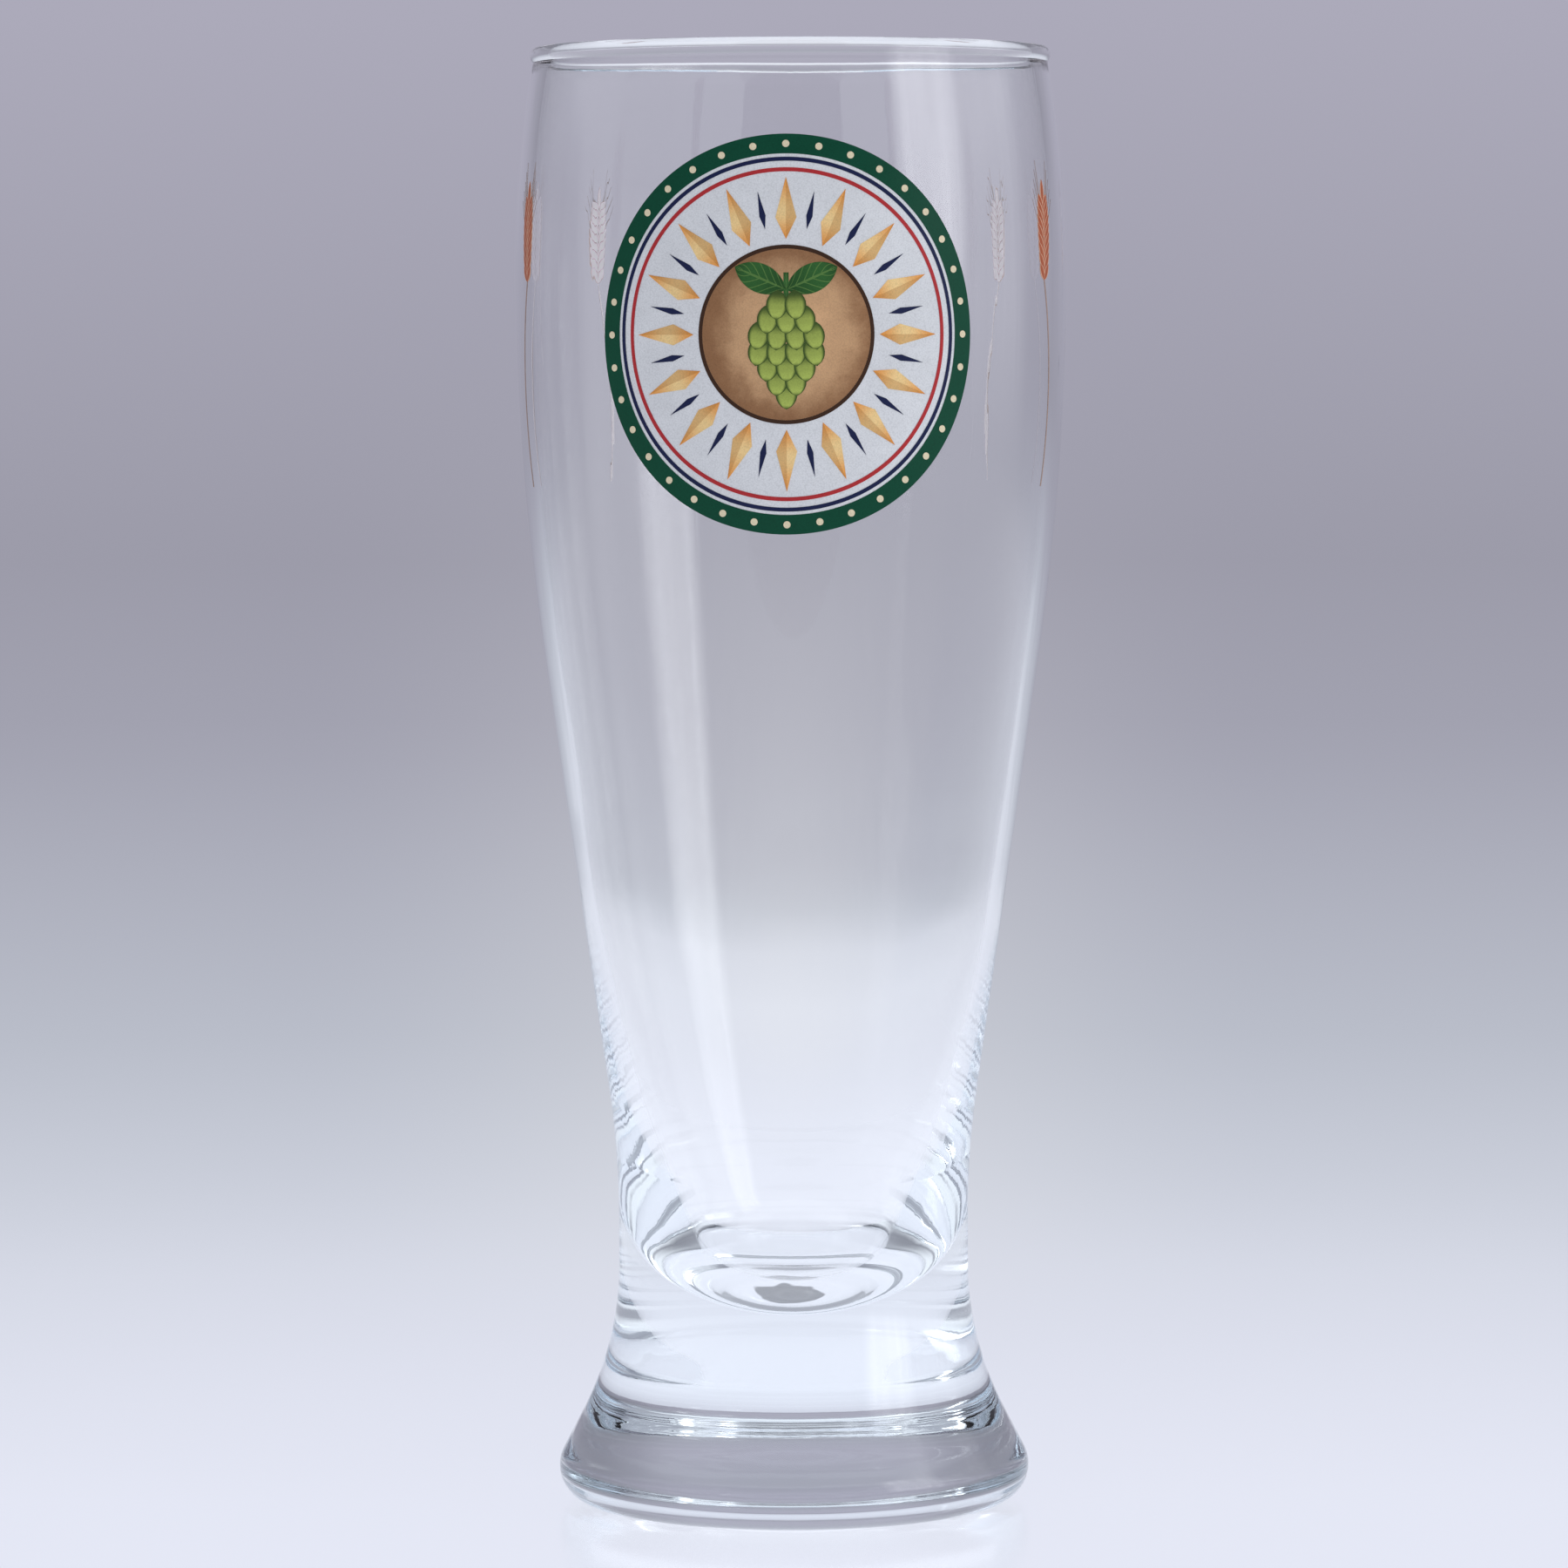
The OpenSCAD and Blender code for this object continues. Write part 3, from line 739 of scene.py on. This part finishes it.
# Layers of ink on the badge, from the wall outwards
GROUND, DRAWING, DETAIL = 1, 2, 3


def add_on_badge(mesh, layer, name, ink, slot, part=None):
    """Lays a flat mesh on the badge as one layer of ink and makes it a piece."""
    badge, view = bpy.context.scene.pilsner_badge, side_view()
    lay_ink(mesh, view, layer, badge.badge_turn, view.belly_z - badge.badge_drop_h)
    add_piece(name, mesh, ink, slot, part or "badge_" + name)


class PILSNER_OT_badge_grounds(bpy.types.Operator):
    """Lays the white ground, the tan disc and its brown rim"""

    bl_idname = "pilsner.badge_grounds"
    bl_label = "Badge grounds"

    def execute(self, context):
        colours = context.scene.pilsner_colours
        rings = badge_rings(context.scene.pilsner_badge)
        white = fired_ink("White ink", plain_shade, colours.white, colours.inner_side)
        mesh = ring_mesh(rings.edge, 0, steps=144, cells=24)
        add_on_badge(mesh, GROUND, "white_ground", white, "white_ink")
        tan = fired_ink("Tan ink", parchment_shade, colours)
        mesh = ring_mesh(rings.roundel, 0, steps=96, cells=12)
        add_on_badge(mesh, DRAWING, "tan_roundel", tan, "tan_ink")
        brown = fired_ink("Brown ink", plain_shade, colours.brown)
        mesh = ring_mesh(rings.brown_outer, rings.roundel, steps=144, cells=2)
        add_on_badge(mesh, DRAWING, "brown_rim", brown, "brown_ink")
        return {"FINISHED"}


def add_rays(mesh, length_share, width_share, step_share, columns):
    """Adds a ring of lozenges sized against the rays, turned by a share of the step from one to the next."""
    badge = bpy.context.scene.pilsner_badge
    ray_len = length_share * badge.ray_len
    half_width = kite_width(width_share * badge.ray_w, badge.ray_belly_share)
    foot_r = badge_rings(badge).ray_middle - ray_len / 2
    for number in range(badge.ray_count):
        ray = add_patch(mesh, ray_len, half_width, rows=20, columns=columns)
        bmesh.ops.translate(mesh, verts=ray, vec=(0, 0, foot_r))
        place_patch(mesh, ray, -(number + step_share) * math.tau / badge.ray_count, (0, 0))


class PILSNER_OT_badge_rings(bpy.types.Operator):
    """Lays the green, red and navy rings, the needles, the dots and the gold rays"""

    bl_idname = "pilsner.badge_rings"
    bl_label = "Badge rings"

    def execute(self, context):
        colours = context.scene.pilsner_colours
        badge = context.scene.pilsner_badge
        rings = badge_rings(badge)
        green = fired_ink("Green ink", plain_shade, colours.green)
        mesh = ring_mesh(rings.edge, rings.green_inner, steps=192, cells=4)
        add_on_badge(mesh, DRAWING, "green_ring", green, "green_ink")
        red = fired_ink("Red ink", plain_shade, colours.red)
        mesh = ring_mesh(rings.red_outer, rings.red_inner, steps=192, cells=2)
        add_on_badge(mesh, DRAWING, "red_ring", red, "red_ink")
        navy = fired_ink("Navy ink", plain_shade, colours.navy)
        mesh = ring_mesh(rings.navy_outer, rings.navy_inner, steps=192, cells=2)
        add_rays(mesh, badge.needle_len_share, badge.needle_w_share, 0.5, columns=2)
        add_on_badge(mesh, DRAWING, "navy_lines", navy, "navy_ink")

        cream = fired_ink("Cream ink", plain_shade, colours.cream)
        mesh = new_flat_mesh()
        dot_ring_r = rings.edge - badge.green_ring_w / 2
        for number in range(badge.bead_count):
            turn = number * math.tau / badge.bead_count
            dot = bmesh.ops.create_circle(mesh, cap_ends=True, segments=20, radius=badge.bead_d / 2)["verts"]
            bmesh.ops.rotate(mesh, verts=dot, cent=(0, 0, 0), matrix=Matrix.Rotation(math.pi / 2, 3, "X"))
            place = (dot_ring_r * math.sin(turn), 0, dot_ring_r * math.cos(turn))
            bmesh.ops.translate(mesh, verts=dot, vec=place)
        add_on_badge(mesh, DETAIL, "cream_dots", cream, "cream_ink", "badge_cream_beads")

        gold = fired_ink("Gold ink", ray_shade, colours.gold, colours.pale_gold)
        mesh = new_flat_mesh()
        add_rays(mesh, 1, 1, 0, columns=4)
        add_on_badge(mesh, DRAWING, "gold_rays", gold, "gold_ink")
        return {"FINISHED"}


# Rows of the hop cone from the lowest up: scales in each row, and its height as a share of the cone's length
CONE_ROWS = ((1, -0.36), (2, -0.23), (3, -0.09), (4, 0.06), (4, 0.22), (3, 0.38), (2, 0.52))


class PILSNER_OT_hop_motif(bpy.types.Operator):
    """Lays the hop cone with its two leaves and stalk"""

    bl_idname = "pilsner.hop_motif"
    bl_label = "Hop motif"

    def execute(self, context):
        colours = context.scene.pilsner_colours
        badge = context.scene.pilsner_badge
        top_z = (CONE_ROWS[-1][1] - badge.hop_drop_share) * badge.cone_len
        mesh = new_flat_mesh()
        leaf_width = oval_width(badge.leaf_len, badge.leaf_w)
        for side in (-1, 1):
            leaf = add_patch(mesh, badge.leaf_len, leaf_width, rows=16, columns=6)
            place_patch(mesh, leaf, -side * badge.leaf_lean, (0, top_z))
        stalk_len = badge.scale_len / 2 + badge.hop_stalk_share * badge.cone_len
        stalk = add_patch(mesh, stalk_len, lambda along: badge.hop_stalk_w / 2, rows=6, columns=2)
        place_patch(mesh, stalk, 0, (0, top_z - badge.scale_len / 2))
        leaf = fired_ink("Leaf ink", leaf_shade, colours.leaf, colours.leaf_vein)
        add_on_badge(mesh, DETAIL, "hop_leaves", leaf, "leaf_ink")

        mesh = new_flat_mesh()
        scale_width = oval_width(badge.scale_len, badge.scale_w)
        for row, (count, height_share) in enumerate(CONE_ROWS):
            height = (height_share - badge.hop_drop_share) * badge.cone_len
            for number in range(count):
                off_middle = number - (count - 1) / 2
                scale = add_patch(mesh, badge.scale_len, scale_width, rows=10, columns=6)
                place = (off_middle * badge.scale_w * badge.scale_step_share, height)
                turn = math.pi + off_middle * badge.scale_lean
                place_patch(mesh, scale, turn, place, lift=4 * row + number)
        hop = fired_ink("Hop ink", scale_shade, colours.hop, colours.hop_root)
        add_on_badge(mesh, DETAIL, "hop_cone", hop, "hop_ink")
        return {"FINISHED"}


# Name of each ear, the side that it stands on and whether it stands in front
EARS = (
    ("front_left", -1, True),
    ("front_right", 1, True),
    ("back_left", -1, False),
    ("back_right", 1, False),
)


def head_root_z(view):
    """Height of the root of each head."""
    ears = bpy.context.scene.pilsner_ears
    return view.belly_z - ears.stem_drop_h + ears.stem_len


def row_height(row):
    """Height of the roots of a row of kernels above the root of the head."""
    ears = bpy.context.scene.pilsner_ears
    return row * ears.head_len * ears.kernel_root_share / ears.kernel_rows


def add_kernel(mesh, kernel_len, lean, height, lift=0):
    """Adds a kernel with its root on the middle line of a head."""
    kernel_w = bpy.context.scene.pilsner_ears.kernel_w
    kernel = add_patch(mesh, kernel_len, oval_width(kernel_len, kernel_w), rows=8, columns=4)
    place_patch(mesh, kernel, lean, (0, height), lift)


def draw_kernels(mesh, ears):
    """Draws the pairs of kernels of one head, each over the next, and the kernel at its tip."""
    middle_row = (ears.kernel_rows - 1) / 2
    for row in range(ears.kernel_rows):
        off_middle = abs(row - middle_row) / middle_row
        kernel_len = ears.kernel_len * (1 - (1 - ears.end_kernel_share) * off_middle**2)
        lift = 2 * (ears.kernel_rows - row)
        add_kernel(mesh, kernel_len, -ears.kernel_lean, row_height(row), lift)
        add_kernel(mesh, kernel_len, ears.kernel_lean, row_height(row), lift - 1)
    add_kernel(mesh, ears.kernel_len, 0, ears.head_len - ears.kernel_len)


def thorn_width(thorn_w):
    """Half width of a thorn that is broadest at its root, at each share of its length."""
    return lambda along: (1 - along) * thorn_w / 2


def draw_stalk(mesh, ears):
    """Draws the bowed stem of one ear and the hairs of its upper rows."""
    bow_r = ((ears.stem_len / 2) ** 2 + ears.stem_bow_w**2) / (2 * ears.stem_bow_w)
    stem = add_patch(mesh, ears.stem_len, lambda along: ears.stem_w / 2, rows=40, columns=2)
    for vertex in stem:
        off_middle = vertex.co.z - ears.stem_len / 2
        vertex.co.x += ears.stem_bow_w - bow_r + math.sqrt(bow_r**2 - off_middle**2)
        vertex.co.z -= ears.stem_len
    place_patch(mesh, stem, ears.stem_lean, (0, 0))
    awn_root = ears.kernel_len / 2 * outward(math.pi / 2 - ears.kernel_lean)
    for row in range(ears.kernel_rows - ears.awn_rows, ears.kernel_rows):
        lean = ears.awn_lean + (ears.kernel_rows - 1 - row) * ears.awn_lean_step
        for side in (-1, 1):
            awn = add_patch(mesh, ears.awn_len, thorn_width(ears.awn_w), rows=12, columns=2)
            place_patch(mesh, awn, -side * lean, (side * awn_root.x, row_height(row) + awn_root.y))


class PILSNER_OT_wheat_ears(bpy.types.Operator):
    """Lays the kernels of the four wheat ears, then their stems and hairs"""

    bl_idname = "pilsner.wheat_ears"
    bl_label = "Wheat ears"

    def execute(self, context):
        view = side_view()
        ears = context.scene.pilsner_ears
        colours = context.scene.pilsner_colours
        kernel_ink = fired_ink("Kernel ink", kernel_shade, colours)
        stalk_ink = fired_ink("Stalk ink", stalk_shade, colours, head_root_z(view))
        layers = (
            ("kernels_", draw_kernels, kernel_ink, "ear_ink"),
            ("stalk_", draw_stalk, stalk_ink, "stalk_ink"),
        )
        for layer, draw, ink, slot in layers:
            for name, side, in_front in EARS:
                mesh = new_flat_mesh()
                draw(mesh, ears)
                # The ears on the left are mirrored
                if side < 0:
                    bmesh.ops.scale(mesh, verts=mesh.verts, vec=(-1, 1, 1))
                turn = side * (ears.front_turn if in_front else ears.back_turn) + ears.set_turn
                lay_ink(mesh, view, GROUND, turn, head_root_z(view))
                add_piece(layer + name, mesh, ink, slot, "ear_" + layer + name)
        return {"FINISHED"}


# Tones of the sweep behind the glass: how steeply the eye looks up, and what a screen would show there
SWEEP_TONES = (
    (-0.60, (240, 243, 255)),
    (-0.30, (228, 232, 245)),
    (-0.17, (222, 226, 238)),
    (-0.13, (212, 216, 228)),
    (-0.098, (186, 190, 202)),
    (-0.055, (162, 162, 176)),
    (-0.03, (156, 155, 169)),
    (0.045, (172, 170, 186)),
    (0.40, (162, 163, 176)),
    (0.80, (184, 187, 197)),
)
# Tones of the room on the camera's side of the glass
ROOM_TONES = (
    (-0.60, (246, 248, 255)),
    (-0.20, (238, 241, 250)),
    (-0.08, (228, 230, 238)),
    (0.04, (174, 176, 187)),
    (0.30, (168, 170, 181)),
    (0.48, (174, 176, 186)),
    (0.56, (250, 254, 262)),
    (0.74, (250, 254, 262)),
    (0.80, (170, 173, 183)),
    (0.86, (60, 64, 74)),
)
# Colours of the dark sides of the sweep, of the spot on it and of the light beside the glass
SWEEP_SIDE = (0.08, 0.085, 0.1)
SWEEP_SPOT = (1, 1, 1)
FLANK_LIGHT = (0.88, 0.91, 0.98)


def tone_ramp(tree, height, tones):
    """Tones over the steepness of a direction."""
    low, high = tones[0][0], tones[-1][0]
    stops = [((steep - low) / (high - low), display_colour(*tone)) for steep, tone in tones]
    return ramp(tree, ease(tree, height, low, high, course="LINEAR"), stops, "LINEAR")


def lay_over(tree, tones, across, upright, shade):
    """Lays a colour over tones as far as both its share across and its share upright let it."""
    return blend_colours(tree, calculate(tree, "MULTIPLY", across, upright), tones, shade)


def build_backdrop():
    """Sets the world to the grey sweep behind the glass and the brighter room in front of it."""
    world = bpy.data.worlds.new("Studio sweep")
    world.use_nodes = True
    bpy.context.scene.world = world
    tree = world.node_tree
    look = axes(tree, node(tree, "ShaderNodeTexCoord").outputs["Generated"])
    rise, sideways = look["Z"], calculate(tree, "ABSOLUTE", look["X"])
    # The sweep gets darker towards its two sides, above the table
    beside, above = ease(tree, sideways, 0.2, 0.7, high=0.45), ease(tree, rise, -0.08, 0.1)
    sweep = lay_over(tree, tone_ramp(tree, rise, SWEEP_TONES), beside, above, SWEEP_SIDE)
    # A soft spot of light falls on the sweep right behind the glass
    beam, below = ease(tree, sideways, 0.07, 0, high=0.17), ease(tree, rise, 0.01, -0.09)
    sweep = lay_over(tree, sweep, beam, below, SWEEP_SPOT)
    # The room begins where the sweep ends, a little behind the glass on either side
    forward = ease(tree, look["Y"], 0.6, -0.2)
    surroundings = blend_colours(tree, forward, sweep, tone_ramp(tree, rise, ROOM_TONES))
    # The light lies brighter on the table to the left and to the right of the glass
    flank, lower = ease(tree, sideways, 0.6, 0.95), ease(tree, rise, -0.08, -0.16)
    surroundings = lay_over(tree, surroundings, flank, lower, FLANK_LIGHT)
    feed(tree, tree.nodes["Background"].inputs, {"Color": surroundings})


# Place of the painted shadow under the foot, its radius with the unevenness of its edge, and how much it dims
# the table's light
FOOT_SHADOW_CENTRE = Vector((-0.002, -0.005, 0))
FOOT_SHADOW_R = 0.0195
FOOT_SHADOW_SOFT_W = 0.0015
FOOT_SHADOW_UNEVEN_W = 0.012
FOOT_SHADOW_DIM = 0.6


def painted_foot_shadow(tree):
    """How much of the light under the foot is left, from the uneven painted shadow of the foot outwards."""
    place = mapped_place(tree, shift=tuple(-FOOT_SHADOW_CENTRE))
    uneven = calculate(tree, "MULTIPLY", clouds(tree, place, DRIFT_SCALE, detail=1), FOOT_SHADOW_UNEVEN_W)
    off = calculate(tree, "ADD", distance(tree, place), uneven)
    patch = ease(tree, off, FOOT_SHADOW_R, FOOT_SHADOW_R - FOOT_SHADOW_SOFT_W)
    return calculate(tree, "MULTIPLY_ADD", patch, -FOOT_SHADOW_DIM, 1)


# Base and glow of the table, and how much of the glow is left at its far side
TABLE_BASE = display_colour(90, 91, 94)
TABLE_LIGHT = display_colour(244, 248, 261)
FAR_GLOW_SHARE = 0.84


def build_table(stage):
    """Lays the pale glossy table, which fades out into the sweep."""
    mesh = bmesh.new()
    bmesh.ops.create_circle(mesh, cap_ends=True, segments=96, radius=stage.table_r)
    material, tree, shader = new_material("Pale table")
    place = object_place(tree)
    fade = ease(tree, distance(tree, place), stage.table_fade_r, stage.table_r, 1, 0, "SMOOTHERSTEP")
    far_y, far_glow = 0.4, FAR_GLOW_SHARE * stage.table_glow
    glow = ease(tree, axes(tree, place)["Y"], 0, far_y, stage.table_glow, far_glow, "LINEAR")
    surface = {
        "Base Color": TABLE_BASE,
        "Roughness": 0.9,
        "Specular IOR Level": 0,
        "Coat Weight": 0.7,
        "Coat Roughness": 0.16,
        "Coat IOR": 1.5,
        "Alpha": fade,
        "Emission Color": TABLE_LIGHT,
        # Painted shadow: the table's glow is dimmed in an uneven patch under the foot
        "Emission Strength": calculate(tree, "MULTIPLY", glow, painted_foot_shadow(tree)),
    }
    feed(tree, shader.inputs, surface)
    table = add_object("table", mesh, material)


# Size and place of each softbox, the colour of its light, and the pleats of its cloth across and upwards
SOFTBOX = ((1.05, 1.1), (1.33, -0.70, 0.55))
SIDE_SOFTBOX = ((1.3, 0.9), (1.55, 0.15, 0.42))
SOFTBOX_LIGHT = (0.96, 0.98, 1)
PLEATS = (9, 0.8)


def add_softbox(name, glow, size, place, target):
    """Hangs a softbox with soft edges and a pleated cloth at a place, and turns it to a target."""
    mesh = bmesh.new()
    bmesh.ops.create_grid(mesh, x_segments=1, y_segments=1, size=0.5)
    bmesh.ops.scale(mesh, verts=mesh.verts, vec=(*size, 1))
    material, tree, shader = new_material(name)
    tree.nodes.remove(shader)
    cloth = axes(tree, object_place(tree))
    reach = []
    for axis, span in zip("XY", size):
        off = calculate(tree, "ABSOLUTE", cloth[axis])
        reach.append(ease(tree, off, span / 4, span / 2, 1, 0))
    pleat_place = mapped_place(tree, (PLEATS[0] / size[0], PLEATS[1] / size[1], 1))
    pleats = clouds(tree, pleat_place, scale=1, detail=3, rough=0.6)
    pleat_tone = calculate(tree, "MULTIPLY_ADD", pleats, 1.6, 0.2)
    tone = calculate(tree, "MULTIPLY", calculate(tree, "MULTIPLY", *reach), pleat_tone)
    strength = calculate(tree, "MULTIPLY", tone, glow)
    light = node(tree, "ShaderNodeEmission", {"Color": SOFTBOX_LIGHT, "Strength": strength})
    clear = node(tree, "ShaderNodeBsdfTransparent")
    both = node(tree, "ShaderNodeAddShader", {0: light.outputs[0], 1: clear.outputs[0]})
    feed(tree, tree.nodes["Material Output"].inputs, {"Surface": both.outputs[0]})
    softbox = add_object(name, mesh, material)
    softbox.location = place
    softbox.rotation_euler = (Vector(target) - Vector(place)).to_track_quat("-Z", "Y").to_euler()
    softbox.visible_camera = False


def add_camera(stage):
    """Sets up the long lens that looks slightly down on the glass."""
    data = bpy.data.cameras.new("camera")
    data.sensor_fit = "HORIZONTAL"
    data.angle = stage.camera_view
    camera = bpy.data.objects.new("camera", data)
    bpy.context.scene.collection.objects.link(camera)
    pitch = Matrix.Rotation(math.pi / 2 - stage.camera_pitch, 4, "X")
    roll = Matrix.Rotation(stage.camera_roll, 4, "Z")
    place = Matrix.Translation((stage.camera_side, -stage.camera_distance, stage.camera_height))
    camera.matrix_world = place @ pitch @ roll
    bpy.context.scene.camera = camera


# Light has to cross many walls of glass before it reaches the camera
GLASS_BOUNCES = 40


class PILSNER_OT_stage(bpy.types.Operator):
    """Builds the table, the sweep, the softboxes and the camera"""

    bl_idname = "pilsner.stage"
    bl_label = "Stage"

    def execute(self, context):
        stage = context.scene.pilsner_stage
        build_backdrop()
        build_table(stage)
        middle = (0, 0, GLASS_BOX[1].z)
        add_softbox("softbox", stage.softbox_glow, *SOFTBOX, middle)
        add_softbox("side_softbox", stage.side_glow, *SIDE_SOFTBOX, middle)
        add_camera(stage)
        context.scene.view_settings.view_transform = "Standard"
        cycles = context.scene.cycles
        cycles.use_denoising = True
        cycles.max_bounces = cycles.glossy_bounces = GLASS_BOUNCES
        cycles.transmission_bounces = cycles.transparent_max_bounces = GLASS_BOUNCES
        cycles.diffuse_bounces = 12
        cycles.sample_clamp_indirect = 6
        return {"FINISHED"}


class PILSNER_PT_panel(bpy.types.Panel):
    """Lists the pieces of the glass"""

    bl_idname = "PILSNER_PT_panel"
    bl_label = "Pilsner Glass"
    bl_space_type = "VIEW_3D"
    bl_region_type = "UI"
    bl_category = "Pilsner Glass"

    def draw(self, context):
        for operator in OPERATORS:
            self.layout.operator(operator.bl_idname)


OPERATORS = (
    PILSNER_OT_glass_body,
    PILSNER_OT_badge_grounds,
    PILSNER_OT_badge_rings,
    PILSNER_OT_hop_motif,
    PILSNER_OT_wheat_ears,
    PILSNER_OT_stage,
)
SETTINGS = {
    "pilsner_glass": PilsnerGlassSizes,
    "pilsner_badge": PilsnerBadgeSizes,
    "pilsner_ears": PilsnerEarSizes,
    "pilsner_colours": PilsnerColours,
    "pilsner_stage": PilsnerStage,
}


def register():
    """Registers the settings, the operators and the panel."""
    for name, group in SETTINGS.items():
        bpy.utils.register_class(group)
        setattr(bpy.types.Scene, name, PointerProperty(type=group))
    for kind in (*OPERATORS, PILSNER_PT_panel):
        bpy.utils.register_class(kind)


def unregister():
    """Takes out what register put in."""
    for kind in reversed((*OPERATORS, PILSNER_PT_panel)):
        bpy.utils.unregister_class(kind)
    for name, group in SETTINGS.items():
        delattr(bpy.types.Scene, name)
        bpy.utils.unregister_class(group)


def main():
    """Builds every piece and the stage."""
    register()
    bpy.ops.pilsner.glass_body()
    bpy.ops.pilsner.badge_grounds()
    bpy.ops.pilsner.badge_rings()
    bpy.ops.pilsner.hop_motif()
    bpy.ops.pilsner.wheat_ears()
    bpy.ops.pilsner.stage()


if __name__ == "__main__":
    main()
